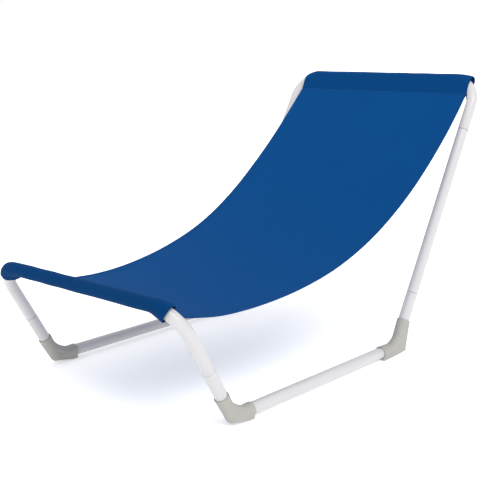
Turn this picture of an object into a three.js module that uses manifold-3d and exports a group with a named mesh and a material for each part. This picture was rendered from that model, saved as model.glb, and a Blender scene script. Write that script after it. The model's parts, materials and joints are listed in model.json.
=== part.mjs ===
// Low beach chair: two side frames of rail, elbows and stubs, joined by a front hoop and a tall
// back hoop that plug on, with a fabric sling stretched from one hoop to the other.
// Millimetres. +Z is up, the sitter faces -Y, and +X is the sitter's left. The origin lies on the
// floor, midway between the side frames and midway between the two hoops.

import * as THREE from "three";
import { mergeVertices } from "three/addons/utils/BufferGeometryUtils.js";
import Module from "manifold-3d";

const wasm = await Module();
wasm.setup();

// Frame, measured between tube centrelines.
const FRAME_WIDTH = 535; // from the left side frame to the right one
const RAIL_LENGTH = 540; // from the front elbow's corner to the rear elbow's corner
const LEG_LENGTH = 267; // from the front elbow's corner up to the front bar
const POST_LENGTH = 665; // from the rear elbow's corner up to the top bar
const LEAN = THREE.MathUtils.degToRad(60.4); // legs lean forward and posts lean back by this
const RAIL_HEIGHT = 16; // rail centreline above the floor

// Tube.
const TUBE_RADIUS = 12.5;
const TUBE_WALL = 1.2;
const TUBE_SIDES = 20;

// Plug joints: the lower tube's swaged spigot stands inside the upper tube.
const LEG_JOINT = 120; // up the leg from the elbow's corner
const LOWER_POST_JOINT = 129; // up the post from the elbow's corner
const UPPER_POST_JOINT = 537;
const SPIGOT_LENGTH = 45;
const SPIGOT_SHOULDER = 2; // length of the cone that narrows the tube to the spigot
const FIT_GAP = 0.3; // between pieces that touch

// Hoops.
const FRONT_BEND = 70; // centreline radius of the front hoop's two bends
const TOP_BEND = 62;
const BEND_STEPS = 10;
const SLEEVE_STEPS = 5; // how many of a bend's steps the fabric sleeve covers

// Elbows: two round sockets at an angle, with a foot that runs round the outside of the corner.
const MOUTH_RADIUS = 14.8;
const CORNER_RADIUS = 12.4;
const SOCKET_START = 26; // from the corner to the bottom of each socket
// Each arm's length, the centreline radius of the sweep inside the corner, how far the heel stands
// out past the corner, and how far it clears the floor.
const FRONT_ELBOW = { rail: 52, upright: 55, sweep: 80, heel: 4, lift: 8 };
const REAR_ELBOW = { rail: 60, upright: 64, sweep: 56, heel: 25, lift: 4 };
const FOOT_WIDTH = 24;
const SOLE_LENGTH = 14; // flat on the floor, from the rail's mouth inward
const HEEL_FACE = 5; // height of the heel's blunt end
const FOOT_TOP = 8; // where the foot's outer line meets the mouth, out from the arm's centreline
const ELBOW_SIDES = 24;

// Fabric.
const SLEEVE_GAP = 0.5; // round the bar
const SLEEVE_THICKNESS = 1.3;
const PANEL_THICKNESS = 3;
const PANEL_STEPS = 28;
// The sling's middle line in side view: distance behind the front elbow's corner, and height above
// the rail's centreline. It hangs from the front bar, dips, and climbs to the top bar.
const SLING_LINE = [
  [-132, 232],
  [-95, 211],
  [-30, 190],
  [75, 178.5],
  [250, 190],
  [424, 235],
  [637, 360],
  [868.5, 578],
];
// The sling's half width along the same distance: its edges pull in over the seat.
const SLING_EDGE = [
  [-110, 214],
  [-80, 226],
  [-30, 224],
  [70, 220.5],
  [245, 229],
  [424, 237.5],
  [637, 247],
  [750, 250],
  [818, 249],
  [857, 196],
];

const LEG_RUN = LEG_LENGTH * Math.cos(LEAN);
const POST_RUN = POST_LENGTH * Math.cos(LEAN);
const HALF_WIDTH = FRAME_WIDTH / 2;
const FRONT_CORNER_Y = -(RAIL_LENGTH + POST_RUN - LEG_RUN) / 2;
const REAR_CORNER_Y = FRONT_CORNER_Y + RAIL_LENGTH;
const LEG_UP = new THREE.Vector3(0, -Math.cos(LEAN), Math.sin(LEAN));
const POST_UP = new THREE.Vector3(0, Math.cos(LEAN), Math.sin(LEAN));
const RAIL_BACK = new THREE.Vector3(0, 1, 0);

const FRAME_WHITE = { color: 0xe6e4e6, roughness: 0.35, metalness: 0.0 };
const ELBOW_GREY = { color: 0xbdbbb7, roughness: 0.7, metalness: 0.0 };
const SLING_BLUE = { color: 0x0d4b87, roughness: 0.9, metalness: 0.0 };

const chair = new THREE.Group();

function add(name, geometry, finish) {
  const mesh = new THREE.Mesh(geometry, new THREE.MeshStandardMaterial(finish));
  mesh.name = name;
  chair.add(mesh);
  return mesh;
}

// --- Solids that are joined or cut ---

function solid(geometry) {
  const bare = new THREE.BufferGeometry();
  bare.setAttribute("position", geometry.getAttribute("position").clone());
  if (geometry.index) bare.setIndex(geometry.index.clone());
  const merged = mergeVertices(bare, 1e-3);
  return new wasm.Manifold(
    new wasm.Mesh({
      numProp: 3,
      vertProperties: merged.attributes.position.array,
      triVerts: new Uint32Array(merged.index.array),
    }),
  );
}

function geometryOf(manifold) {
  const mesh = manifold.getMesh();
  const geometry = new THREE.BufferGeometry();
  geometry.setAttribute("position", new THREE.BufferAttribute(mesh.vertProperties, 3));
  geometry.setIndex(new THREE.BufferAttribute(mesh.triVerts, 1));
  return geometry;
}

// --- Tubes ---

// Turns a shape that stands along +Y so that it runs from a point in a direction.
function along(geometry, direction, start) {
  const up = new THREE.Vector3(0, 1, 0);
  geometry.applyQuaternion(new THREE.Quaternion().setFromUnitVectors(up, direction));
  return geometry.translate(start.x, start.y, start.z);
}

function ring(outer, inner, sides) {
  const shape = new THREE.Shape().setFromPoints(circle(outer, sides));
  shape.holes.push(new THREE.Path(circle(inner, sides)));
  return shape;
}

function circle(radius, sides) {
  return Array.from({ length: sides }, (_, i) => {
    const angle = (2 * Math.PI * i) / sides;
    return new THREE.Vector2(radius * Math.cos(angle), radius * Math.sin(angle));
  });
}

function straightTube(length, spigot) {
  const inner = TUBE_RADIUS - TUBE_WALL;
  const shoulder = spigot ? length - SPIGOT_SHOULDER : length;
  const profile = [
    new THREE.Vector2(inner, 0),
    new THREE.Vector2(TUBE_RADIUS, 0),
    new THREE.Vector2(TUBE_RADIUS, shoulder),
  ];
  if (spigot) {
    const outside = inner - FIT_GAP;
    const top = length + SPIGOT_LENGTH;
    profile.push(
      new THREE.Vector2(outside, length),
      new THREE.Vector2(outside, top),
      new THREE.Vector2(outside - TUBE_WALL, top),
      new THREE.Vector2(outside - TUBE_WALL, length),
    );
  }
  profile.push(new THREE.Vector2(inner, shoulder), new THREE.Vector2(inner, 0));
  return new THREE.LatheGeometry(profile, TUBE_SIDES);
}

// A path that visits given stations, so a straight run costs one step.
class StationPath extends THREE.Curve {
  constructor(stations) {
    super();
    this.stations = stations;
  }
  stationAt(t) {
    return this.stations[Math.round(t * (this.stations.length - 1))];
  }
  getPointAt(t, target = new THREE.Vector3()) {
    return target.copy(this.stationAt(t).point);
  }
  getTangentAt(t, target = new THREE.Vector3()) {
    return target.copy(this.stationAt(t).tangent);
  }
}

// Stations of one bend, from the end of the bar (step 0) outward and down, mirrored by side.
function bendStations(side, radius, steps) {
  return Array.from({ length: steps + 1 }, (_, i) => {
    const angle = (i / BEND_STEPS) * (Math.PI / 2);
    const x = HALF_WIDTH - radius + radius * Math.sin(angle);
    return {
      point: new THREE.Vector3(side * x, 0, radius * (Math.cos(angle) - 1)),
      tangent: new THREE.Vector3(Math.cos(angle), 0, -side * Math.sin(angle)),
    };
  });
}

// Along the bar from right to left, with a number of bend steps and then legs at both ends.
function hoopPath(radius, steps, legLength) {
  const right = bendStations(-1, radius, steps).reverse();
  const left = bendStations(1, radius, steps);
  const end = (side) => ({
    point: new THREE.Vector3(side * HALF_WIDTH, 0, -legLength),
    tangent: new THREE.Vector3(0, 0, -side),
  });
  const stations = legLength ? [end(-1), ...right, ...left, end(1)] : [...right, ...left];
  return new StationPath(stations);
}

function alongPath(outer, inner, path) {
  return new THREE.ExtrudeGeometry(ring(outer, inner, TUBE_SIDES), {
    steps: path.stations.length - 1,
    extrudePath: path,
  });
}

// The hoop's own plane stands upright, with the bar's centreline at height 0.
function hoop(radius, legLength) {
  const path = hoopPath(radius, BEND_STEPS, legLength);
  return alongPath(TUBE_RADIUS, TUBE_RADIUS - TUBE_WALL, path);
}

function sleeve(radius) {
  const inner = TUBE_RADIUS + SLEEVE_GAP;
  return alongPath(inner + SLEEVE_THICKNESS, inner, hoopPath(radius, SLEEVE_STEPS, 0));
}

// --- Elbows ---

// Lays a shape drawn in side view (distance back, height) across the chair.
function across(shape, width) {
  const slab = new THREE.ExtrudeGeometry(shape, { depth: width, bevelEnabled: false });
  slab.translate(0, 0, -width / 2);
  const basis = new THREE.Matrix4().makeBasis(
    new THREE.Vector3(0, 1, 0),
    new THREE.Vector3(0, 0, 1),
    new THREE.Vector3(1, 0, 0),
  );
  return slab.applyMatrix4(basis);
}

function cone(length) {
  const profile = [
    new THREE.Vector2(0, 0),
    new THREE.Vector2(CORNER_RADIUS, 0),
    new THREE.Vector2(MOUTH_RADIUS, length),
    new THREE.Vector2(0, length),
  ];
  return new THREE.LatheGeometry(profile, ELBOW_SIDES);
}

function socket(length) {
  const depth = length - SOCKET_START + 1;
  const bore = new THREE.CylinderGeometry(
    TUBE_RADIUS + FIT_GAP,
    TUBE_RADIUS + FIT_GAP,
    depth,
    ELBOW_SIDES,
  );
  return bore.translate(0, SOCKET_START + depth / 2, 0);
}

// The rounded inside of the corner, a round bar swept from one arm to the other.
function innerSweep(radius) {
  const reach = radius * Math.tan(LEAN / 2);
  const steps = 8;
  const stations = Array.from({ length: steps + 1 }, (_, i) => {
    const angle = (i / steps) * LEAN;
    return {
      point: new THREE.Vector3(
        0,
        reach - radius * Math.sin(angle),
        radius * (1 - Math.cos(angle)),
      ),
      tangent: new THREE.Vector3(0, -Math.cos(angle), Math.sin(angle)),
    };
  });
  const section = new THREE.Shape().setFromPoints(circle(CORNER_RADIUS, ELBOW_SIDES));
  return new THREE.ExtrudeGeometry(section, { steps, extrudePath: new StationPath(stations) });
}

// The foot in side view: a flat sole at the rail's mouth, an underside that rises to the heel, and
// an outer line that runs up into the other mouth's wall. Its inner ends lie on the centrelines.
function foot({ rail, upright, heel, lift }) {
  const mouth = new THREE.Vector2(-Math.cos(LEAN), Math.sin(LEAN)).multiplyScalar(upright);
  const outward = new THREE.Vector2(-Math.sin(LEAN), -Math.cos(LEAN));
  const outline = new THREE.Shape([
    new THREE.Vector2(0, 0),
    mouth,
    mouth.clone().addScaledVector(outward, FOOT_TOP),
    new THREE.Vector2(-heel, lift + HEEL_FACE - RAIL_HEIGHT),
    new THREE.Vector2(-heel, lift - RAIL_HEIGHT),
    new THREE.Vector2(rail - SOLE_LENGTH, -RAIL_HEIGHT),
    new THREE.Vector2(rail, -RAIL_HEIGHT),
    new THREE.Vector2(rail, 0),
  ]);
  return across(outline, FOOT_WIDTH);
}

// The corner stands at the origin, the rail's arm runs to +Y and the other arm leans to -Y.
function elbow(size) {
  const origin = new THREE.Vector3();
  const ball = new THREE.SphereGeometry(CORNER_RADIUS, ELBOW_SIDES, 12);
  const joined = solid(cone(size.rail))
    .add(solid(along(cone(size.upright), LEG_UP, origin)))
    .add(solid(ball))
    .add(solid(innerSweep(size.sweep)))
    .add(solid(foot(size)));
  return geometryOf(
    joined
      .subtract(solid(socket(size.rail)))
      .subtract(solid(along(socket(size.upright), LEG_UP, origin))),
  );
}

// --- Sling ---

function sidePoints(points) {
  return points.map(([back, up]) => new THREE.Vector2(FRONT_CORNER_Y + back, RAIL_HEIGHT + up));
}

function panelSection() {
  const line = new THREE.SplineCurve(sidePoints(SLING_LINE)).getSpacedPoints(PANEL_STEPS);
  const offset = (side) =>
    line.map((point, i) => {
      const before = line[Math.max(i - 1, 0)];
      const after = line[Math.min(i + 1, line.length - 1)];
      const run = after.clone().sub(before).normalize();
      const shift = new THREE.Vector2(-run.y, run.x).multiplyScalar((side * PANEL_THICKNESS) / 2);
      return point.clone().add(shift);
    });
  return new THREE.Shape().setFromPoints([...offset(-1), ...offset(1).reverse()]);
}

// The sling's outline from above, with its edges drawn in over the seat.
function panelOutline() {
  const edge = new THREE.SplineCurve(
    SLING_EDGE.map(([back, half]) => new THREE.Vector2(half, FRONT_CORNER_Y + back)),
  ).getPoints(PANEL_STEPS);
  const other = edge.map((point) => new THREE.Vector2(-point.x, point.y)).reverse();
  return new THREE.Shape().setFromPoints([...edge, ...other]);
}

function slingPanel() {
  const height = 2 * POST_LENGTH;
  const slab = across(panelSection(), FRAME_WIDTH);
  const cutter = new THREE.ExtrudeGeometry(panelOutline(), { depth: height, bevelEnabled: false });
  return geometryOf(solid(slab).intersect(solid(cutter)));
}

// --- Assembly ---

const frontCorner = (side) => new THREE.Vector3(side * HALF_WIDTH, FRONT_CORNER_Y, RAIL_HEIGHT);
const rearCorner = (side) => new THREE.Vector3(side * HALF_WIDTH, REAR_CORNER_Y, RAIL_HEIGHT);
const upFrom = (corner, direction, distance) => corner.clone().addScaledVector(direction, distance);

function sideFrame(label, side) {
  const inset = SOCKET_START + FIT_GAP;
  const front = frontCorner(side);
  const rear = rearCorner(side);

  const rail = straightTube(RAIL_LENGTH - 2 * inset, false);
  add(label + "_rail", along(rail, RAIL_BACK, upFrom(front, RAIL_BACK, inset)), FRAME_WHITE);

  const legStub = straightTube(LEG_JOINT - FIT_GAP - inset, true);
  add(label + "_leg_stub", along(legStub, LEG_UP, upFrom(front, LEG_UP, inset)), FRAME_WHITE);

  const postStub = straightTube(LOWER_POST_JOINT - FIT_GAP - inset, true);
  add(label + "_post_stub", along(postStub, POST_UP, upFrom(rear, POST_UP, inset)), FRAME_WHITE);

  const post = straightTube(UPPER_POST_JOINT - LOWER_POST_JOINT - FIT_GAP, true);
  const postFoot = upFrom(rear, POST_UP, LOWER_POST_JOINT);
  add(label + "_post", along(post, POST_UP, postFoot), FRAME_WHITE);

  const frontElbow = add(label + "_front_elbow", elbow(FRONT_ELBOW), ELBOW_GREY);
  frontElbow.position.copy(front);

  const rearElbow = add(label + "_rear_elbow", elbow(REAR_ELBOW), ELBOW_GREY);
  rearElbow.position.copy(rear);
  rearElbow.rotation.z = Math.PI;
}

// Leans an upright hoop or sleeve and sets its bar at the end of the legs or posts.
function leanAndPlace(mesh, direction, corner, length) {
  mesh.rotation.x = Math.atan2(-direction.y, direction.z);
  mesh.position.copy(upFrom(corner, direction, length)).setX(0);
}

function hoops() {
  const frontHoop = add("front_hoop", hoop(FRONT_BEND, LEG_LENGTH - LEG_JOINT), FRAME_WHITE);
  const frontSleeve = add("front_sleeve", sleeve(FRONT_BEND), SLING_BLUE);
  const topHoop = add("top_hoop", hoop(TOP_BEND, POST_LENGTH - UPPER_POST_JOINT), FRAME_WHITE);
  const topSleeve = add("top_sleeve", sleeve(TOP_BEND), SLING_BLUE);
  for (const piece of [frontHoop, frontSleeve])
    leanAndPlace(piece, LEG_UP, frontCorner(1), LEG_LENGTH);
  for (const piece of [topHoop, topSleeve])
    leanAndPlace(piece, POST_UP, rearCorner(1), POST_LENGTH);
}

sideFrame("left", 1);
sideFrame("right", -1);
hoops();
add("sling_panel", slingPanel(), SLING_BLUE);

export default chair;
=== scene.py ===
"""Low sling beach chair: its tubes, elbows and cloth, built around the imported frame."""

import json
import math

import bmesh
import bpy
import numpy as np
from bpy.props import FloatProperty, FloatVectorProperty, IntProperty, PointerProperty
from mathutils import Matrix, Vector


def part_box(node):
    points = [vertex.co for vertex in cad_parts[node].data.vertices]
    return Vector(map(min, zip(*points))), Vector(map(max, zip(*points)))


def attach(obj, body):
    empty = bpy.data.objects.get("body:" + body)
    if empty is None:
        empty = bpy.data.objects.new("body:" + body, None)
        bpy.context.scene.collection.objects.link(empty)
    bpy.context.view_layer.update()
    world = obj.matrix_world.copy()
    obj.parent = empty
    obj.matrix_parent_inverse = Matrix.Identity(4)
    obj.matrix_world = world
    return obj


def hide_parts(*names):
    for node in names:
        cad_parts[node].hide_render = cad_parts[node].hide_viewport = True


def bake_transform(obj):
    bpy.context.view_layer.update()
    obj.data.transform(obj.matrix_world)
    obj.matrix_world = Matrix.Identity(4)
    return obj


bl_info = {
    "name": "Low Beach Chair",
    "version": (1, 0, 0),
    "blender": (4, 5, 0),
    "location": "View3D > Sidebar > Beach Chair",
    "description": "Builds a low sling beach chair's tubes, elbows and cloth around its frame",
    "category": "Add Mesh",
}

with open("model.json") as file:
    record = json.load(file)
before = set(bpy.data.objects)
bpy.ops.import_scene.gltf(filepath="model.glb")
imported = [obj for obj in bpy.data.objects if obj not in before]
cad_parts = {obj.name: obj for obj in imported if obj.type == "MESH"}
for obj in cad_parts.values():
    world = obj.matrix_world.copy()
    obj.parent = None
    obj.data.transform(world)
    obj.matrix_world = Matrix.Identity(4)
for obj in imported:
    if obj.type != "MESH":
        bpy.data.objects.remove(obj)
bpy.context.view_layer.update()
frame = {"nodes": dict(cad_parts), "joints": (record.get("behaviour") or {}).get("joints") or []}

# ---------------------------------------------------------------------------------------------
# Places taken from the frame
# ---------------------------------------------------------------------------------------------

JOINTS = {joint["name"]: joint for joint in frame["joints"]}
LEG_UP = Vector(JOINTS["front_hoop_pull"]["axis"]).normalized()
POST_UP = Vector(JOINTS["top_hoop_pull"]["axis"]).normalized()
RAIL_BACK = Vector((0, 1, 0))
RAIL_LOW, RAIL_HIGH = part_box("left_rail")
HALF_WIDTH = (RAIL_LOW.x + RAIL_HIGH.x) / 2
RAIL_Z = (RAIL_LOW.z + RAIL_HIGH.z) / 2
SOCKET_INSET = 0.0263  # from an elbow's corner to the end of a tube in its socket
CLOSE = 1e-5  # two places nearer than this are one
FRONT_CORNER = Vector((HALF_WIDTH, RAIL_LOW.y - SOCKET_INSET, RAIL_Z))
REAR_CORNER = Vector((HALF_WIDTH, RAIL_HIGH.y + SOCKET_INSET, RAIL_Z))


# ---------------------------------------------------------------------------------------------
# Settings
# ---------------------------------------------------------------------------------------------


def length(name, description, default):
    """A length in metres, shown with its unit."""
    return FloatProperty(
        name=name, description=description, default=default, unit="LENGTH", precision=5
    )


def colour(name, description, default):
    """A colour with its picker."""
    return FloatVectorProperty(
        name=name,
        description=description,
        default=default,
        size=4,
        min=0,
        max=1,
        subtype="COLOR",
    )


class TubeSettings(bpy.types.PropertyGroup):
    """Sizes of the bent and straight tubes."""

    radius: length("Radius", "Outer radius of the tube", 0.0125)
    wall: length("Wall", "Thickness of the tube's wall", 0.0012)
    leg: length("Leg", "From the front elbow's corner up to the front bar", 0.267)
    post: length("Post", "From the rear elbow's corner up to the top bar", 0.665)
    leg_joint: length("Leg joint", "Up the leg to its plug joint", 0.120)
    lower_joint: length("Lower post joint", "Up the post to its first joint", 0.129)
    upper_joint: length("Upper post joint", "Up the post to its second joint", 0.537)
    spigot: length("Spigot", "Length of the narrowed end in the next tube", 0.045)
    shoulder: length("Shoulder", "Length of the cone above a joint", 0.002)
    gap: length("Gap", "Room between two pieces that touch", 0.0003)
    rim: length("Rim", "Softening of the tube ends' rims", 0.00058)
    front_bend: length("Front bend", "Centreline radius of the front bends", 0.070)
    top_bend: length("Top bend", "Centreline radius of the top bends", 0.062)
    sides: IntProperty(name="Sides", description="Faces round a tube", default=48)
    bend_steps: IntProperty(
        name="Bend steps", description="Steps in each bend", default=20
    )


class SlingSettings(bpy.types.PropertyGroup):
    """Sizes of the cloth, its two sleeves and its seams."""

    thickness: length("Thickness", "Thickness of one layer of cloth", 0.0009)
    sleeve_depth: length("Sleeve depth", "From the bar's middle to the seam", 0.042)
    flap: length("Flap", "Cloth turned under past the seam", 0.012)
    slack: length("Slack", "Room between the bar and its sleeve", 0.0005)
    front_left: length("Front left", "Sleeve's reach along the front bar", 0.2427)
    front_right: length("Front right", "Sleeve's reach along the front bar", 0.2570)
    top_left: length("Top left", "Sleeve's reach along the top bar", 0.2530)
    top_right: length("Top right", "Sleeve's reach along the top bar", 0.2440)
    stitch: length("Stitch", "Length of a stitch, gap included", 0.0042)
    thread: length("Thread", "Radius of the sewing thread", 0.00035)
    columns: IntProperty(
        name="Columns", description="Steps across the cloth", default=96
    )
    sleeve_rows: IntProperty(
        name="Sleeve rows", description="Steps round a sleeve", default=64
    )
    panel_rows: IntProperty(
        name="Panel rows", description="Steps along the panel", default=120
    )


class FinishSettings(bpy.types.PropertyGroup):
    """Colours of the finishes, and the weave's size."""

    paint: colour("Paint", "Powder coat on the tubes", (0.515, 0.505, 0.518, 1))
    plastic: colour("Plastic", "Moulded elbows", (0.345, 0.337, 0.314, 1))
    cloth: colour("Cloth", "Sling cloth", (0.0009, 0.052, 0.190, 1))
    weave: length("Weave", "Width of one yarn", 0.0007)


class StageSettings(bpy.types.PropertyGroup):
    """Floor, light and camera."""

    floor: colour("Floor", "Floor's colour", (0.92, 0.92, 0.92, 1))
    sky: FloatProperty(name="Sky", description="Brightness all round", default=1.0)
    key: FloatProperty(name="Key", description="Strength of the key light", default=1.3)
    lens: FloatProperty(
        name="Lens", description="Camera's focal length", default=72, unit="CAMERA"
    )


class ChairSettings(bpy.types.PropertyGroup):
    """Everything that a user would change."""

    tubes: PointerProperty(type=TubeSettings)
    sling: PointerProperty(type=SlingSettings)
    finish: PointerProperty(type=FinishSettings)
    stage: PointerProperty(type=StageSettings)


def settings():
    """The scene's chair settings."""
    return bpy.context.scene.beach_chair


# ---------------------------------------------------------------------------------------------
# Shader maths
# ---------------------------------------------------------------------------------------------


class Value:
    """A shader socket that takes part in arithmetic; each step adds a Math node."""

    def __init__(self, finish, socket):
        self.finish, self.socket = finish, socket

    def __add__(self, other):
        return self.finish.math("ADD", self, other)

    def __mul__(self, other):
        return self.finish.math("MULTIPLY", self, other)

    __radd__ = __add__
    __rmul__ = __mul__


class Finish:
    """A material whose nodes are added one at a time, with their settings and inputs."""

    def __init__(self, name):
        self.material = bpy.data.materials.new(name)
        self.material.use_nodes = True
        self.tree = self.material.node_tree
        self.tree.nodes.clear()
        self.shader = self.node("BsdfPrincipled")
        output = self.node("OutputMaterial")
        self.tree.links.new(self.shader.outputs[0], output.inputs["Surface"])

    def feed(self, node, inputs):
        """Links a node's inputs to values, or sets them."""
        for key, value in inputs.items():
            if isinstance(value, Value):
                self.tree.links.new(value.socket, node.inputs[key])
            else:
                node.inputs[key].default_value = value

    def node(self, kind, inputs=None, **choices):
        """Adds a node, sets its choices first and then its sockets' values or links."""
        node = self.tree.nodes.new("ShaderNode" + kind)
        for key, value in choices.items():
            setattr(node, key, value)
        self.feed(node, inputs or {})
        return node

    def out(self, node, name=0):
        """A node's output as a value."""
        return Value(self, node.outputs[name])

    def math(self, operation, *values):
        """The value of one Math node."""
        return self.out(
            self.node("Math", dict(enumerate(values)), operation=operation)
        )

    def mix(self, share, low, high):
        """A colour between two colours."""
        node = self.node("Mix", {0: share, 6: low, 7: high}, data_type="RGBA")
        return self.out(node, 2)

    def noise(self, vector, scale, detail):
        """Soft noise between 0 and 1."""
        inputs = {"Vector": vector, "Scale": scale, "Detail": detail}
        return self.out(self.node("TexNoise", inputs), "Fac")

    def stretched(self, vector, scale):
        """A vector whose axes are scaled one by one."""
        inputs = {0: vector, 1: scale}
        return self.out(self.node("VectorMath", inputs, operation="MULTIPLY"))

    def bump(self, height, strength, distance):
        """Lets a height disturb the shader's normal."""
        inputs = {"Height": height, "Strength": strength, "Distance": distance}
        self.feed(self.shader, {"Normal": self.out(self.node("Bump", inputs))})

    def surface(self, **inputs):
        """Sets the shader's inputs, and returns the finished material."""
        self.feed(self.shader, {key.replace("_", " "): inputs[key] for key in inputs})
        return self.material


def shade(rgba, factor):
    """A colour made lighter or darker."""
    return (*[min(1.0, part * factor) for part in rgba[:3]], 1.0)


def powder_coat():
    """White powder coat: fine orange peel, and a little unevenness in tone and gloss."""
    finish = Finish("powder_coat")
    paint = settings().finish.paint
    place = finish.out(finish.node("TexCoord"), "Object")
    cloudy = finish.noise(place, 14.0, 3.0)
    peel = finish.noise(place, 650.0, 1.0)
    tone = finish.mix(cloudy, shade(paint, 0.965), shade(paint, 1.03))
    finish.bump(peel, 0.16, 0.0003)
    return finish.surface(
        Base_Color=tone,
        Roughness=0.30 + 0.10 * cloudy,
        Coat_Weight=0.15,
        Coat_Roughness=0.25,
    )


def moulded_plastic():
    """Matte grey plastic with a spark-eroded grain and soft flow marks."""
    finish = Finish("moulded_plastic")
    plastic = settings().finish.plastic
    place = finish.out(finish.node("TexCoord"), "Object")
    grain = finish.noise(place, 1500.0, 2.0)
    flow = finish.noise(place, 45.0, 3.0)
    tone = finish.mix(flow, shade(plastic, 0.96), shade(plastic, 1.04))
    finish.bump(grain + 0.4 * flow, 0.25, 0.00025)
    return finish.surface(
        Base_Color=tone,
        Roughness=0.60 + 0.10 * grain,
        Specular_IOR_Level=0.35,
    )


def sling_cloth():
    """Plain-woven cloth in metres on its UV map, with painted shade where it lies double and on
    the front sleeve's face.
    """
    finish = Finish("sling_cloth")
    cloth, yarn = settings().finish.cloth, settings().finish.weave
    flat = finish.out(finish.node("UVMap", uv_map="ClothMetres"))
    turn = math.pi / yarn
    parts = finish.node("SeparateXYZ", {0: flat})
    across = finish.math("SINE", finish.out(parts, "X") * turn)
    along = finish.math("SINE", finish.out(parts, "Y") * turn)
    over = across * along  # above zero where the lengthwise yarn lies on top
    warp = finish.noise(finish.stretched(flat, (1 / yarn, 18, 0)), 1.0, 1.0)
    weft = finish.noise(finish.stretched(flat, (18, 1 / yarn, 0)), 1.0, 1.0)
    cloudy = finish.noise(flat, 7.0, 2.0)
    uneven = 0.34 * warp + 0.34 * weft + 0.32 * cloudy
    tone = finish.mix(uneven, shade(cloth, 0.80), shade(cloth, 1.20))
    lit = finish.mix(0.5 + 0.5 * over, shade(cloth, 0.82), shade(cloth, 1.18))
    woven = finish.mix(0.5, tone, lit)
    # painted shade: darker where the cloth lies double, and more so on the front sleeve's
    # underside and face
    double = finish.out(finish.node("Attribute", attribute_name="double"), "Fac")
    finish.bump(finish.math("ABSOLUTE", over) + 0.5 * uneven, 0.35, 0.0003)
    return finish.surface(
        Base_Color=finish.mix(0.22 * double, woven, shade(cloth, 0.35)),
        Roughness=0.72 + 0.12 * uneven,
        Specular_IOR_Level=0.03,
        Sheen_Weight=0.01,
        Sheen_Roughness=0.45,
    )


def sewing_thread():
    """Twisted thread, a shade lighter than the cloth."""
    finish = Finish("sewing_thread")
    cloth = settings().finish.cloth
    place = finish.out(finish.node("TexCoord"), "Object")
    twist = finish.noise(place, 2500.0, 1.0)
    tone = finish.mix(twist, shade(cloth, 0.9), shade(cloth, 1.5))
    finish.bump(twist, 0.3, 0.0001)
    return finish.surface(Base_Color=tone, Roughness=0.6, Specular_IOR_Level=0.4)


def floor_finish():
    """Pale matte floor with the faintest mottle."""
    finish = Finish("pale_floor")
    floor = settings().stage.floor
    place = finish.out(finish.node("TexCoord"), "Object")
    mottle = finish.noise(place, 3.0, 2.0)
    return finish.surface(
        Base_Color=finish.mix(mottle, shade(floor, 0.995), shade(floor, 1.005)),
        Roughness=0.9,
        Specular_IOR_Level=0.1,
        Emission_Color=(1, 1, 1, 1),
        Emission_Strength=0.36,
    )


def finish_of(make):
    """The material that a function makes, made once."""
    return bpy.data.materials.get(make.__name__) or make()


# ---------------------------------------------------------------------------------------------
# Mesh work
# ---------------------------------------------------------------------------------------------


def select_only(*objects):
    """Object mode, with just these objects selected and the first one active."""
    if bpy.context.object and bpy.context.object.mode != "OBJECT":
        bpy.ops.object.mode_set(mode="OBJECT")
    bpy.ops.object.select_all(action="DESELECT")
    for obj in objects:
        obj.select_set(True)
    bpy.context.view_layer.objects.active = objects[0] if objects else None


def pick(test):
    """In edit mode, selects the vertices whose place passes a test, and the faces they span."""
    bpy.ops.mesh.select_mode(type="VERT")
    bpy.ops.mesh.select_all(action="DESELECT")
    mesh = bpy.context.edit_object.data
    shape = bmesh.from_edit_mesh(mesh)
    for vertex in shape.verts:
        vertex.select_set(test(vertex.co))
    shape.select_flush(True)
    bmesh.update_edit_mesh(mesh)


def extrude(step):
    """In edit mode, extrudes what is selected by a step."""
    bpy.ops.mesh.extrude_region_move(TRANSFORM_OT_translate={"value": step})


def modify(obj, kind, **choices):
    """Adds a modifier, sets it and applies it."""
    select_only(obj)
    modifier = obj.modifiers.new(kind.title(), kind)
    for key, value in choices.items():
        setattr(modifier, key, value)
    bpy.ops.object.modifier_apply(modifier=modifier.name)


def bake_place(obj):
    """Puts the object's place into its mesh."""
    select_only(obj)
    bpy.ops.object.transform_apply(location=True, rotation=True, scale=True)


def tube_wall(obj):
    """Gives an open tube skin its wall, inwards, with softened rims."""
    tubes = settings().tubes
    rim = {"width": tubes.rim, "segments": 2, "limit_method": "ANGLE", "angle_limit": 1.2}
    modify(obj, "SOLIDIFY", thickness=tubes.wall, offset=-1, use_even_offset=True)
    modify(obj, "BEVEL", **rim)
    select_only(obj)
    bpy.ops.object.shade_smooth_by_angle(angle=math.radians(35))


def dress(obj, name, material, slot, body, *nodes):
    """Names a finished piece, gives it its finish, ties it to its body and hides its CAD nodes.
    """
    obj.name = obj.data.name = name
    obj.data.materials.clear()
    obj.data.materials.append(material)
    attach(obj, body)
    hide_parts(*nodes)


def copy_of(obj):
    """A second object with its own mesh."""
    twin = obj.copy()
    twin.data = obj.data.copy()
    bpy.context.collection.objects.link(twin)
    return twin


def mirror_image(obj):
    """The same piece for the chair's other side, with its faces still outwards."""
    twin = copy_of(obj)
    twin.scale.x = -1
    bake_place(twin)
    bpy.ops.object.mode_set(mode="EDIT")
    bpy.ops.mesh.select_all(action="SELECT")
    bpy.ops.mesh.flip_normals()
    bpy.ops.object.mode_set(mode="OBJECT")
    if outward_volume(twin) < 0:
        raise RuntimeError(f"{obj.name}'s mirror image is inside out")
    return twin


def outward_volume(obj):
    """The mesh's volume, below zero if its faces point inwards."""
    shape = bmesh.new()
    shape.from_mesh(obj.data)
    volume = shape.calc_volume(signed=True)
    shape.free()
    return volume


# ---------------------------------------------------------------------------------------------
# Tubes
# ---------------------------------------------------------------------------------------------


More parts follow.
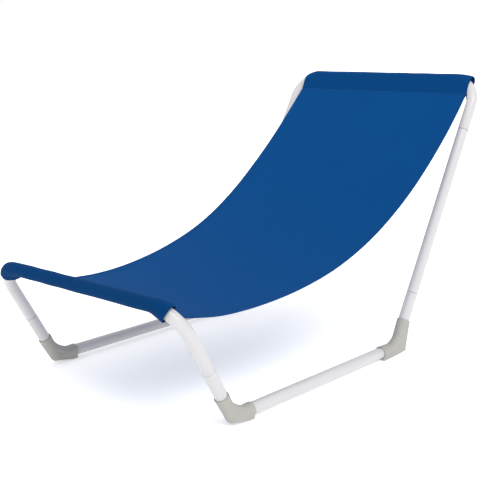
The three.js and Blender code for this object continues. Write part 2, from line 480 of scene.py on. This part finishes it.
def straight_tube(start, direction, run, spigot):
    """A tube from a point in a direction; a spigot narrows it to stand in the next tube."""
    tubes = settings().tubes
    select_only()
    body = run - (tubes.shoulder if spigot else 0)
    bpy.ops.mesh.primitive_cylinder_add(
        vertices=tubes.sides,
        radius=tubes.radius,
        depth=body,
        end_fill_type="NOTHING",
        location=(0, 0, body / 2),
    )
    obj = bpy.context.object
    bake_place(obj)
    if spigot:
        inner = tubes.radius - tubes.wall - tubes.gap
        ratio = inner / tubes.radius
        bpy.ops.object.mode_set(mode="EDIT")
        pick(lambda place: place.z > body - CLOSE)
        extrude((0, 0, tubes.shoulder))
        bpy.ops.transform.resize(value=(ratio, ratio, 1), center_override=(0, 0, run))
        extrude((0, 0, tubes.spigot))
        bpy.ops.object.mode_set(mode="OBJECT")
    tube_wall(obj)
    obj.rotation_mode = "QUATERNION"
    obj.rotation_quaternion = Vector((0, 0, 1)).rotation_difference(direction)
    obj.location = start
    bake_place(obj)
    return obj


def swept_hoop(bend, leg):
    """A hoop that stands upright, with its bar's centreline at height 0."""
    tubes = settings().tubes
    select_only()
    bpy.ops.mesh.primitive_circle_add(
        vertices=tubes.sides, radius=tubes.radius, location=(-HALF_WIDTH, 0, -leg)
    )
    obj = bpy.context.object
    bake_place(obj)
    bpy.ops.object.mode_set(mode="EDIT")
    bpy.ops.mesh.select_all(action="SELECT")
    turn = {"steps": tubes.bend_steps, "angle": -math.pi / 2, "axis": (0, 1, 0)}
    extrude((0, 0, leg - bend))
    bpy.ops.mesh.spin(center=(bend - HALF_WIDTH, 0, -bend), **turn)
    extrude((2 * (HALF_WIDTH - bend), 0, 0))
    bpy.ops.mesh.spin(center=(HALF_WIDTH - bend, 0, -bend), **turn)
    extrude((0, 0, bend - leg))
    bpy.ops.mesh.select_all(action="SELECT")
    bpy.ops.mesh.remove_doubles(threshold=1e-6)
    bpy.ops.mesh.normals_make_consistent(inside=False)
    bpy.ops.object.mode_set(mode="OBJECT")
    return obj


def lean(obj, up, bar):
    """Leans an upright hoop so that it stands along a direction, with its bar at a point."""
    obj.rotation_euler.x = math.atan2(-up.y, up.z)
    obj.location = (0, bar.y, bar.z)
    bake_place(obj)


def bar_places():
    """The middles of the front bar and the top bar."""
    tubes = settings().tubes
    front = FRONT_CORNER + LEG_UP * tubes.leg
    top = REAR_CORNER + POST_UP * tubes.post
    return Vector((0, front.y, front.z)), Vector((0, top.y, top.z))


class CHAIR_OT_straight_tubes(bpy.types.Operator):
    """Make the rails, leg stubs, post stubs and posts of both side frames"""

    bl_idname = "beach_chair.straight_tubes"
    bl_label = "Straight Tubes"

    def execute(self, context):
        tubes = settings().tubes
        paint = finish_of(powder_coat)
        post_run = tubes.upper_joint - tubes.lower_joint - tubes.gap
        # corner that it starts from, its way from there, distance to its start, its run, whether
        # it ends in a spigot, body
        pieces = {
            "rail": (
                FRONT_CORNER,
                RAIL_BACK,
                SOCKET_INSET,
                RAIL_HIGH.y - RAIL_LOW.y,
                False,
                "side_frames",
            ),
            "leg_stub": (
                FRONT_CORNER,
                LEG_UP,
                SOCKET_INSET,
                tubes.leg_joint - tubes.gap - SOCKET_INSET,
                True,
                "side_frames",
            ),
            "post_stub": (
                REAR_CORNER,
                POST_UP,
                SOCKET_INSET,
                tubes.lower_joint - tubes.gap - SOCKET_INSET,
                True,
                "side_frames",
            ),
            "post": (REAR_CORNER, POST_UP, tubes.lower_joint, post_run, True, "post_tubes"),
        }
        for label, (corner, way, offset, run, spigot, body) in pieces.items():
            left = straight_tube(corner + way * offset, way, run, spigot)
            right = mirror_image(left)
            for side, obj in (("left", left), ("right", right)):
                node = f"{side}_{label}"
                dress(obj, f"{node}_tube", paint, "frame_paint", body, node)
        return {"FINISHED"}


class CHAIR_OT_hoops(bpy.types.Operator):
    """Make the front hoop and the top hoop, each bent from one tube"""

    bl_idname = "beach_chair.hoops"
    bl_label = "Hoops"

    def execute(self, context):
        tubes = settings().tubes
        front_bar, top_bar = bar_places()
        for name, bend, leg, up, bar in (
            ("front_hoop", tubes.front_bend, tubes.leg - tubes.leg_joint, LEG_UP, front_bar),
            ("top_hoop", tubes.top_bend, tubes.post - tubes.upper_joint, POST_UP, top_bar),
        ):
            obj = swept_hoop(bend, leg)
            tube_wall(obj)
            lean(obj, up, bar)
            paint = finish_of(powder_coat)
            dress(obj, f"{name}_tube", paint, "frame_paint", name, name)
        return {"FINISHED"}


# ---------------------------------------------------------------------------------------------
# Elbows
# ---------------------------------------------------------------------------------------------


ELBOW_VOXEL = 0.00045  # fine enough for the thin wall at the foot of each socket
ELBOW_SMOOTHING = 16
ELBOW_KEPT = 0.4  # share of the faces kept after smoothing


def moulded_elbow(node):
    """The elbow's CAD solid, remeshed finely and smoothed so that its arms flow together."""
    source = frame["nodes"][node]
    obj = bpy.data.objects.new("elbow", source.data.copy())
    bpy.context.collection.objects.link(obj)
    select_only(obj)
    bpy.ops.object.mode_set(mode="EDIT")
    bpy.ops.mesh.select_all(action="SELECT")
    bpy.ops.mesh.remove_doubles(threshold=CLOSE)
    bpy.ops.object.mode_set(mode="OBJECT")
    modify(obj, "REMESH", mode="VOXEL", voxel_size=ELBOW_VOXEL, use_smooth_shade=True)
    modify(obj, "SMOOTH", factor=0.5, iterations=ELBOW_SMOOTHING)
    modify(obj, "DECIMATE", ratio=ELBOW_KEPT)
    return obj


class CHAIR_OT_elbows(bpy.types.Operator):
    """Make the four moulded elbows that the chair stands on"""

    bl_idname = "beach_chair.elbows"
    bl_label = "Elbows"

    def execute(self, context):
        plastic = finish_of(moulded_plastic)
        for end in ("front", "rear"):
            left = moulded_elbow(f"left_{end}_elbow")
            right = mirror_image(left)
            for side, obj in (("left", left), ("right", right)):
                node = f"{side}_{end}_elbow"
                name = f"{node}_moulding"
                dress(obj, name, plastic, "elbow_plastic", "side_frames", node)
        return {"FINISHED"}


# ---------------------------------------------------------------------------------------------
# Sling
# ---------------------------------------------------------------------------------------------

# The sling's middle line in side view: distance behind the front elbow's corner, height above the
# rail's centreline. Its edges: that distance, then half width to the right and to the left.
SLING_LINE = np.array(
    [
        [-0.132, 0.232],
        [-0.095, 0.211],
        [-0.030, 0.190],
        [0.075, 0.1785],
        [0.250, 0.190],
        [0.424, 0.235],
        [0.637, 0.360],
        [0.8685, 0.578],
    ]
)
SLING_EDGE = np.array(
    [
        [-0.095, 0.2300, 0.2330],
        [-0.030, 0.2245, 0.2285],
        [0.030, 0.2205, 0.2245],
        [0.075, 0.2203, 0.2243],
        [0.141, 0.2225, 0.2265],
        [0.245, 0.2290, 0.2330],
        [0.341, 0.2345, 0.2385],
        [0.424, 0.2375, 0.2415],
        [0.534, 0.2425, 0.2470],
        [0.637, 0.2460, 0.2520],
        [0.750, 0.2450, 0.2550],
        [0.868, 0.2440, 0.2540],
    ]
)
LOWEST = 0.075  # where the sling is split, at its lowest line
SPLIT_STEP = 0.0015  # from the split to the rows beside it
SPLIT_CLEAR = 0.005  # other rows keep this far from it

# Columns by each side edge, as distances from it on cloth half EDGE_BASE wide, so that the hem's
# fold is sharp; hems are double over their first HEM_COLUMNS columns.
HEM_STEPS = (0, 0.0012, 0.0040, 0.0080, 0.0100, 0.0125)
EDGE_BASE = 0.25
HEM_COLUMNS = 4
MIDDLE_START = 0.07  # share of the half width where the even columns begin

FLAP_BELOW = 1.25  # from the panel's cloth down to the flap's, in thicknesses
TOP_EASE = 0.0016  # room between the top bar and the cloth on it
TOP_DROOP = {"right": 0.0110, "left": 0.0030}  # at the ends of the top sleeve
DROOP_RUN = 0.0385  # past the bar's straight part, where the droop is reached
FRONT_LOOSE = 0.0046  # how far the front sleeve's left mouth stands off
LOOSE_RISE = (0.195, 0.240)  # where that starts and is reached, from the chair's middle
FRONT_SPARE = 0.0036  # how far the cloth on the front bar's right bend stands off
SPARE_RISE = (0.200, 0.232)
FRONT_WIDENS = 0.085  # run over which the panel widens to the front sleeve
TOP_WIDENS = 0.06
FRONT_BENDS = 0.13  # run over which the panel takes on the front bar's bend
SEAM_BEND = 0.5  # share of the bar's bend that is left at the front seam
FACE_PAINTED_SHADE = 1.6  # painted shade on the front sleeve's underside and face, over that of double cloth
FACE_SHADE_FADES = (0.48, 0.70)  # share of the way round where it starts to fade and is gone

# Puckers stand along both seams, folds are long and soft, and one ridge runs back from the
# front sleeve's left mouth, where it starts RIDGE_FROM from the chair's middle.
PUCKER_HEIGHT, PUCKER_REACH = 0.00022, 0.013
FOLD_HEIGHT, FOLD_REACHES = 0.0005, (0.07, 0.09)
RIDGE_HEIGHT, RIDGE_REACH = 0.0014, 0.035
RIDGE_FROM, RIDGE_WIDTH, RIDGE_SLANT = 0.229, 0.0055, 0.10


def natural_spline(knots, values, at):
    """Values of the natural cubic spline through (knots, values) at some places."""
    steps = np.diff(knots)
    slopes = np.diff(values) / steps
    size = len(knots)
    matrix, right = np.eye(size), np.zeros(size)
    for i in range(1, size - 1):
        matrix[i, i - 1 : i + 2] = (
            steps[i - 1],
            2 * (steps[i - 1] + steps[i]),
            steps[i],
        )
        right[i] = 6 * (slopes[i] - slopes[i - 1])
    bends = np.linalg.solve(matrix, right)
    i = np.clip(np.searchsorted(knots, at) - 1, 0, size - 2)
    before, after = at - knots[i], knots[i + 1] - at
    return (
        (bends[i] * after**3 + bends[i + 1] * before**3) / (6 * steps[i])
        + (values[i] / steps[i] - bends[i] * steps[i] / 6) * after
        + (values[i + 1] / steps[i] - bends[i + 1] * steps[i] / 6) * before
    )


def smoothstep(low, high, value):
    """0 below low, 1 above high, and a smooth rise between them."""
    t = np.clip((value - low) / (high - low), 0, 1)
    return t * t * (3 - 2 * t)


def runs(line):
    """The distance along a polyline at each of its points."""
    return np.concatenate([[0], np.cumsum(np.linalg.norm(np.diff(line, axis=0), axis=1))])


def panel_line(count):
    """Points (y, z) of the panel's middle line from bar to bar, evenly spaced."""
    knots = runs(SLING_LINE)
    fine = np.linspace(0, knots[-1], 2000)
    line = np.stack(
        [natural_spline(knots, SLING_LINE[:, i], fine) for i in (0, 1)], axis=1
    )
    line += (FRONT_CORNER.y, RAIL_Z)
    return evenly(line, count)


def evenly(line, count):
    """A polyline's points at even steps along it."""
    run = runs(line)
    at = np.linspace(0, run[-1], count)
    return np.stack([np.interp(at, run, line[:, i]) for i in (0, 1)], axis=1)


def tight_line(points, first, last, count):
    """The tight clockwise line round some points from first to last, evenly spaced."""
    cloud = sorted({tuple(p) for p in [*points, first, last]})

    def half(order):
        chain = []
        for p in order:
            while len(chain) > 1:
                a, b = chain[-2], chain[-1]
                if (b[0] - a[0]) * (p[1] - a[1]) > (b[1] - a[1]) * (p[0] - a[0]):
                    break
                chain.pop()
            chain.append(p)
        return chain[:-1]

    hull = (half(cloud) + half(reversed(cloud)))[::-1]
    begin = hull.index(tuple(first))
    hull = hull[begin:] + hull[:begin]
    return evenly(np.array(hull), count)


class Bar:
    """A bar in side view, with how it bends down at its ends."""

    def __init__(self, centre, up, bend, reach_left, reach_right):
        self.centre = np.array((centre.y, centre.z))
        self.up = np.array((up.y, up.z))
        self.bend = bend
        self.straight = HALF_WIDTH - bend
        self.reach = (reach_right, reach_left)

    def section(self, across, radius):
        """The cut through the bar, swollen to a radius, at a distance across the chair."""
        over = max(0.0, abs(across) - self.straight)
        turn = np.linspace(0, 2 * math.pi, 72, endpoint=False)
        ring = self.bend + radius * np.cos(turn)
        height = np.sqrt(np.maximum(ring**2 - over**2, 1e-8)) - self.bend
        depth = np.array((self.up[1], -self.up[0]))
        return (
            self.centre
            + height[:, None] * self.up
            + (radius * np.sin(turn))[:, None] * depth
        )


class ClothGrid:
    """The cloth as rows along the chair and columns across it."""

    def __init__(self):
        sling, tubes = settings().sling, settings().tubes
        front_bar, top_bar = bar_places()
        self.front = Bar(
            front_bar, LEG_UP, tubes.front_bend, sling.front_left, sling.front_right
        )
        self.top = Bar(
            top_bar, POST_UP, tubes.top_bend, sling.top_left, sling.top_right
        )
        hem = np.array(HEM_STEPS) / EDGE_BASE
        middle = np.linspace(MIDDLE_START - 1, 1 - MIDDLE_START, sling.columns)
        self.share = np.concatenate([hem - 1, middle, 1 - hem[::-1]])
        self.rows, self.bend, self.double, self.across = [], [], [], []
        self.lay_rows()
        self.place = self.points()
        self.place = self.place + self.normals() * self.creases()[:, :, None]
        self.run = runs(self.place[:, len(self.share) // 2])

    def lay_rows(self):
        """Lays all rows: flap, front sleeve, panel, top sleeve, flap."""
        sling = settings().sling
        line = panel_line(1600)
        depth = sling.sleeve_depth
        from_front = np.linalg.norm(line - self.front.centre, axis=1)
        from_top = np.linalg.norm(line - self.top.centre, axis=1)
        first = int(np.argmax(from_front > depth))
        last = int(np.argmax(from_top < depth))
        step = np.linalg.norm(line[1] - line[0])
        flap = int(sling.flap / step)
        self.front_seam, self.top_seam = line[first], line[last]
        for i in np.linspace(first + flap, first + 2, 5).astype(int):
            self.add_flap_row(line, i)
        self.add_sleeve(self.front, line[first], line[first] - line[first - 40])
        self.front_seam_row = len(self.rows)
        for station in self.panel_stations(line[first:last], sling.panel_rows)[1:-1]:
            self.add_panel_row(station)
        self.top_seam_row = len(self.rows)
        self.add_sleeve(self.top, line[last], line[last] - line[last + 40])
        for i in np.linspace(last - 2, last - flap, 5).astype(int):
            self.add_flap_row(line, i)
        split = FRONT_CORNER.y + LOWEST
        panel = range(self.front_seam_row, self.top_seam_row)
        self.split_row = min(panel, key=lambda i: abs(self.rows[i][0, 0] - split))

    def panel_stations(self, line, count):
        """Evenly spaced panel points, with close rows on both sides of the split."""
        points = evenly(line, count)
        back = line[:, 0] - FRONT_CORNER.y
        middle = line[int(np.argmin(abs(back - LOWEST)))]
        points = points[np.linalg.norm(points - middle, axis=1) > SPLIT_CLEAR]
        near = [
            line[int(np.argmin(abs(line[:, 0] - middle[0] - step)))]
            for step in (-SPLIT_STEP, 0, SPLIT_STEP)
        ]
        near += [line[2], line[-3]]
        return np.array(sorted([*map(tuple, points), *map(tuple, near)]))

    def columns_at(self, reach):
        """Distances along a row for its columns, from its reach to the right and to the left."""
        right, left = reach
        return np.where(self.share < 0, self.share * right, self.share * left)

    def add(self, row, bend, double, across):
        """Adds a row: its places, its share of the bar's bend, its painted shade, its distances.
        """
        self.rows.append(np.array(row))
        self.bend.append(np.full(len(across), float(bend)))
        self.double.append(np.full(len(across), float(double)))
        self.across.append(np.array(across))

    def add_sleeve(self, bar, seam, away):
        """Rows round a bar, from the seam and back to it."""
        sling = settings().sling
        ring = settings().tubes.radius + sling.slack + sling.thickness / 2
        away = away / np.linalg.norm(away)
        upper = np.array((-away[1], away[0])) * np.sign(away[0])
        above = seam + upper * sling.thickness * 0.6
        below = seam - upper * sling.thickness * 0.6
        is_top = bar is self.top
        first, last = (above, below) if is_top else (below, above)
        across = self.columns_at(bar.reach)
        columns = []
        for distance in across:
            if is_top:
                over = max(0.0, abs(distance) - bar.straight)
                droop = TOP_DROOP["right" if distance < 0 else "left"]
                sunk = droop * (over / DROOP_RUN) ** 3
                small = ring - min(0.12 * over, 0.0030)
                top = bar.section(0, small) + bar.up * (ring - small - sunk + TOP_EASE)
                points = [*top, *bar.section(distance, ring)]
            else:
                loose = FRONT_LOOSE * smoothstep(*LOOSE_RISE, distance)
                points = [*(bar.section(0, ring + loose) + bar.up * loose * 0.35)]
                spare = FRONT_SPARE * smoothstep(*SPARE_RISE, -distance)
                points += [*(bar.section(0, ring - 0.2 * spare) + bar.up * spare)]
            columns.append(tight_line(points, first, last, sling.sleeve_rows))
        rows = np.array(columns).transpose(1, 0, 2)
        for i, row in enumerate(rows):
            bend, double = 0, 1
            if not is_top:
                distance = float(np.linalg.norm(row[len(row) // 2] - bar.centre))
                bend = 1 - SEAM_BEND * smoothstep(0.015, sling.sleeve_depth, distance)
                # painted shade on the front sleeve's underside and face, fading out towards its
                # top
                double += FACE_PAINTED_SHADE * (1 - smoothstep(*FACE_SHADE_FADES, i / len(rows)))
            self.add(row, bend, double, across)

    def add_panel_row(self, station):
        """A row of the single cloth, at a point of the panel's middle line."""
        from_front = np.linalg.norm(station - self.front_seam)
        from_top = np.linalg.norm(station - self.top_seam)
        sleeve = max(
            1 - smoothstep(0, FRONT_WIDENS, from_front), 1 - smoothstep(0, TOP_WIDENS, from_top)
        )
        back = station[0] - FRONT_CORNER.y
        edges = [np.interp(back, SLING_EDGE[:, 0], SLING_EDGE[:, side]) for side in (1, 2)]
        bar = self.front if back < LOWEST else self.top
        across = self.columns_at(
            [edge + (reach - edge) * sleeve for edge, reach in zip(edges, bar.reach)]
        )
        bend = SEAM_BEND * (1 - smoothstep(0, FRONT_BENDS, from_front))
        self.add(np.broadcast_to(station, (len(across), 2)), bend, 0.0, across)

    def add_flap_row(self, line, i):
        """A row of the turned-under edge, just below the panel's own cloth."""
        away = line[i + 3] - line[i - 3]
        under = np.array((away[1], -away[0])) / np.linalg.norm(away)
        self.add_panel_row(line[i])
        self.rows[-1] = self.rows[-1] + under * settings().sling.thickness * FLAP_BELOW
        # painted shade of double cloth on the turned-under flap
        self.double[-1][:] = 1

    def points(self):
        """Every grid point in the chair's frame, bent down with the front bar's ends."""
        rows, bend, across = map(np.array, (self.rows, self.bend, self.across))
        bar = self.front
        over = np.clip(np.abs(across) - bar.straight, 0, None)
        soft = np.maximum(bend, 1e-4)
        turn = soft * over / bar.bend
        radius = bar.bend / soft
        height = (rows - bar.centre) @ bar.up
        height = np.where(bend > 2e-4, height, 0)
        reach = np.minimum(np.abs(across), bar.straight) + (radius + height) * np.sin(turn)
        down = (radius + height) * (1 - np.cos(turn))
        x = np.sign(across) * reach
        return np.stack(
            [x, rows[:, :, 0] - down * bar.up[0], rows[:, :, 1] - down * bar.up[1]], axis=2
        )

    def normals(self):
        """The upper or outer side's direction at every point."""
        along = np.gradient(self.place, axis=0)
        sideways = np.gradient(self.place, axis=1)
        normal = np.cross(sideways, along)
        return normal / np.maximum(np.linalg.norm(normal, axis=2, keepdims=True), 1e-12)

    def creases(self):
        """Heights of the puckers by the seams and of the long soft folds of the seat."""
        x = np.array(self.across)
        place = np.array(self.rows)
        by_front = np.linalg.norm(place - self.front_seam, axis=2)
        by_top = np.linalg.norm(place - self.top_seam, axis=2)
        pucker = np.sin(x * 410 + 1.7 * np.sin(x * 53)) * np.exp(-by_front / PUCKER_REACH)
        pucker += np.sin(x * 377 + 2.1 * np.sin(x * 47)) * np.exp(-by_top / PUCKER_REACH)
        folds = np.sin(x * 61 + 2 * np.sin(x * 17 + place[:, :, 0] * 9))
        front_reach, top_reach = FOLD_REACHES
        folds *= np.exp(-by_front / front_reach) + 0.8 * np.exp(-by_top / top_reach)
        off = (x - RIDGE_FROM + RIDGE_SLANT * by_front) / RIDGE_WIDTH
        ridge = np.exp(-(off**2) - by_front / RIDGE_REACH)
        return PUCKER_HEIGHT * pucker + FOLD_HEIGHT * folds + RIDGE_HEIGHT * ridge


class ClothSheet:
    """One of the two sheets that the cloth is shown as, with its width of rows."""

    def __init__(self, grid, name, first, last):
        self.grid, self.name, self.rows = grid, name, slice(first, last + 1)

    def flat(self):
        """The sheet's flat width, length and area."""
        grid = self.grid
        across, run = np.array(grid.across)[self.rows], grid.run[self.rows]
        width = across[:, -1] - across[:, 0]
        return float(width.max()), float(run[-1] - run[0]), float(np.trapz(width, run))

    def make(self):
        """The sheet's mesh, with its flat map in metres, its painted shade and its hems."""
        grid, sling = self.grid, settings().sling
        place = grid.place[self.rows]
        count_rows, count_columns = place.shape[:2]
        select_only()
        bpy.ops.mesh.primitive_grid_add(
            x_subdivisions=count_columns - 1, y_subdivisions=count_rows - 1, size=1
        )
        obj = bpy.context.object
        obj.data.vertices.foreach_set("co", place.reshape(-1))
        flat = np.stack(
            [
                np.array(grid.across)[self.rows],
                np.broadcast_to(grid.run[self.rows, None], place.shape[:2]),
            ],
            axis=2,
        ).reshape(-1, 2)
        corner = np.empty(len(obj.data.loops), int)
        obj.data.loops.foreach_get("vertex_index", corner)
        while obj.data.uv_layers:
            obj.data.uv_layers.remove(obj.data.uv_layers[0])
        layer = obj.data.uv_layers.new(name="ClothMetres")
        layer.data.foreach_set("uv", flat[corner].reshape(-1))
        # painted shade, kept on the mesh for the cloth's finish
        double = obj.data.attributes.new("double", "FLOAT", "POINT")
        double.data.foreach_set("value", np.array(grid.double)[self.rows].reshape(-1))
        hem = np.zeros(place.shape[:2])
        hem[:, :HEM_COLUMNS] = hem[:, -HEM_COLUMNS:] = 1
        group = obj.vertex_groups.new(name="hem")
        for weight in (0.5, 1.0):
            chosen = np.flatnonzero(hem.reshape(-1) == (weight == 1.0))
            group.add(chosen.tolist(), weight, "REPLACE")
        obj.data.update()
        modify(
            obj,
            "SOLIDIFY",
            thickness=sling.thickness * 2,
            offset=0,
            vertex_group="hem",
        )
        obj.vertex_groups.clear()
        select_only(obj)
        bpy.ops.object.shade_smooth_by_angle(angle=math.radians(50))
        return obj


def stitch_shape():
    """One stitch: a short bulging run of thread, lying along Y."""
    sling = settings().sling
    select_only()
    bpy.ops.mesh.primitive_cylinder_add(
        vertices=6, radius=sling.thread, depth=0.55 * sling.stitch, rotation=(math.pi / 2, 0, 0)
    )
    obj = bpy.context.object
    bake_place(obj)
    bpy.ops.object.mode_set(mode="EDIT")
    for side in (-1, 1):
        pick(lambda place: place.y * side > 0.27 * sling.stitch - CLOSE)
        bpy.ops.mesh.extrude_region_move()
        bpy.ops.transform.translate(value=(0, side * 0.13 * sling.stitch, -0.7 * sling.thread))
        centre = (0, side * 0.4 * sling.stitch, -0.7 * sling.thread)
        bpy.ops.transform.resize(value=(0.45, 1, 0.45), center_override=centre)
    bpy.ops.mesh.select_all(action="SELECT")
    bpy.ops.mesh.normals_make_consistent(inside=False)
    bpy.ops.object.mode_set(mode="OBJECT")
    return obj


def sew(points, normals, extra, name):
    """Copies of one stitch along a line on the cloth's middle, joined in one piece.

    Extra is how much thicker than one layer half the cloth is there.
    """
    sling = settings().sling
    points = points + normals * (sling.thickness / 2 + sling.thread * 0.35 + extra)
    run = runs(points)
    at = np.arange(sling.stitch / 2, run[-1], sling.stitch)
    centre = np.stack([np.interp(at, run, points[:, i]) for i in range(3)], axis=1)
    up = np.stack([np.interp(at, run, normals[:, i]) for i in range(3)], axis=1)
    up /= np.linalg.norm(up, axis=1, keepdims=True)
    ahead = np.gradient(centre, axis=0)
    ahead -= up * np.sum(ahead * up, axis=1, keepdims=True)
    ahead /= np.linalg.norm(ahead, axis=1, keepdims=True)
    aside = np.cross(ahead, up)
    one = stitch_shape()
    corners = np.array([vertex.co for vertex in one.data.vertices])
    faces = [tuple(face.vertices) for face in one.data.polygons]
    placed = (
        centre[:, None]
        + corners[None, :, :1] * aside[:, None]
        + corners[None, :, 1:2] * ahead[:, None]
        + corners[None, :, 2:] * up[:, None]
    ).reshape(-1, 3)
    size = len(corners)
    mesh = bpy.data.meshes.new(name)
    mesh.from_pydata(
        placed.tolist(),
        [],
        [[i + size * k for i in face] for k in range(len(at)) for face in faces],
    )
    bpy.data.objects.remove(one)
    obj = bpy.data.objects.new(name, mesh)
    bpy.context.collection.objects.link(obj)
    select_only(obj)
    bpy.ops.object.shade_smooth()
    return obj


class CHAIR_OT_sling(bpy.types.Operator):
    """Make the sling: its cloth from bar to bar, with both sleeves, hems and stitching"""

    bl_idname = "beach_chair.sling"
    bl_label = "Sling"

    def execute(self, context):
        grid = ClothGrid()
        middle_column = len(grid.share) // 2
        split = grid.place[grid.split_row, middle_column]
        middle = (0, float(split[1]), float(split[2]))
        front_start = (0, *map(float, grid.front_seam))
        top_end = (0, *map(float, grid.top_seam))
        last = len(grid.rows) - 1
        self.make_half(
            grid,
            "front",
            (0, grid.split_row),
            ("front_seam_stitches", grid.front_seam_row),
            slice(grid.front_seam_row, grid.split_row + 1),
            ("front_hoop", "side_frames", front_start, middle),
            ("front_sleeve", "sling_panel"),
        )
        self.make_half(
            grid,
            "back",
            (grid.split_row, last),
            ("top_seam_stitches", grid.top_seam_row - 1),
            slice(grid.split_row, grid.top_seam_row),
            ("side_frames", "top_hoop", middle, top_end),
            ("top_sleeve", "sling_panel"),
        )
        return {"FINISHED"}

    def make_half(self, grid, half, rows, seam, panel, crossing, nodes):
        """Makes one sheet with its stitching, and hides the CAD nodes that it stands for."""
        cloth = ClothSheet(grid, f"sling_cloth_{half}", *rows)
        sheet = cloth.make()
        lines = [(seam[0], (seam[1], slice(3, -3)), 0)]
        hem = settings().sling.thickness / 2
        for side, column in (("right", HEM_COLUMNS), ("left", -HEM_COLUMNS - 1)):
            lines.append((f"{half}_{side}_hem_stitches", (panel, column), hem))
        normals = grid.normals()
        for name, where, extra in lines:
            thread = sew(grid.place[where], normals[where], extra, name)
            thread.data.materials.append(finish_of(sewing_thread))
            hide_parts("sling_panel")
            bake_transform(thread)
        sheet.name = sheet.data.name = cloth.name
        sheet.data.materials.clear()
        sheet.data.materials.append(finish_of(sling_cloth))
        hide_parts(*nodes)
        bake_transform(sheet)


# ---------------------------------------------------------------------------------------------
# Stage
# ---------------------------------------------------------------------------------------------


CAMERA_PLACE = (1.41326, -1.58216, 0.70764)
CAMERA_RIGHT = Vector((0.73645, 0.67640, -0.01092))
CAMERA_UP = Vector((-0.13359, 0.16124, 0.97783))


class CHAIR_OT_stage(bpy.types.Operator):
    """Set the pale floor, the soft light and the camera"""

    bl_idname = "beach_chair.stage"
    bl_label = "Stage"

    def execute(self, context):
        stage = settings().stage
        scene = context.scene
        select_only()
        bpy.ops.mesh.primitive_plane_add(size=60, location=(0, 0, -0.0004))
        floor = bpy.context.object
        floor.name = floor.data.name = "floor"
        bake_place(floor)
        floor.data.materials.append(finish_of(floor_finish))

        world = bpy.data.worlds.new("studio")
        world.use_nodes = True
        world.node_tree.nodes["Background"].inputs["Color"].default_value = (1, 1, 1, 1)
        world.node_tree.nodes["Background"].inputs["Strength"].default_value = stage.sky
        scene.world = world
        scene.view_settings.view_transform = "Standard"

        for name, aim, softness, share in (
            ("key_light", (-0.75, 0.30, -1.0), 30, 1.0),
            ("fill_light", (-0.35, 1.0, -0.45), 60, 0.10),
        ):
            lamp = bpy.data.lights.new(name, "SUN")
            lamp.angle, lamp.energy = math.radians(softness), stage.key * share
            light = bpy.data.objects.new(name, lamp)
            light.rotation_euler = Vector(aim).to_track_quat("-Z", "Y").to_euler()
            scene.collection.objects.link(light)

        lens = bpy.data.cameras.new("camera")
        lens.lens, lens.sensor_width = stage.lens, 36
        camera = bpy.data.objects.new("camera", lens)
        axes = Matrix((CAMERA_RIGHT, CAMERA_UP, CAMERA_RIGHT.cross(CAMERA_UP)))
        turned = axes.transposed().to_4x4()
        camera.matrix_world = Matrix.Translation(CAMERA_PLACE) @ turned
        scene.collection.objects.link(camera)
        scene.camera = camera
        return {"FINISHED"}


class CHAIR_PT_panel(bpy.types.Panel):
    """The chair's pieces and sizes"""

    bl_idname = "CHAIR_PT_panel"
    bl_label = "Beach Chair"
    bl_space_type = "VIEW_3D"
    bl_region_type = "UI"
    bl_category = "Beach Chair"

    def draw(self, context):
        chair = settings()
        for step in STEPS:
            self.layout.operator(step.bl_idname)
        for group in (chair.tubes, chair.sling, chair.finish, chair.stage):
            box = self.layout.box()
            for name in group.bl_rna.properties.keys():
                if name not in ("rna_type", "name"):
                    box.prop(group, name)


STEPS = (
    CHAIR_OT_stage,
    CHAIR_OT_straight_tubes,
    CHAIR_OT_hoops,
    CHAIR_OT_elbows,
    CHAIR_OT_sling,
)
CLASSES = (
    TubeSettings,
    SlingSettings,
    FinishSettings,
    StageSettings,
    ChairSettings,
    *STEPS,
    CHAIR_PT_panel,
)


def register():
    for item in CLASSES:
        bpy.utils.register_class(item)
    bpy.types.Scene.beach_chair = PointerProperty(type=ChairSettings)


def unregister():
    del bpy.types.Scene.beach_chair
    for item in reversed(CLASSES):
        bpy.utils.unregister_class(item)


def main():
    register()
    for step in STEPS:
        group, _, name = step.bl_idname.partition(".")
        getattr(getattr(bpy.ops, group), name)()


if __name__ == "__main__":
    main()
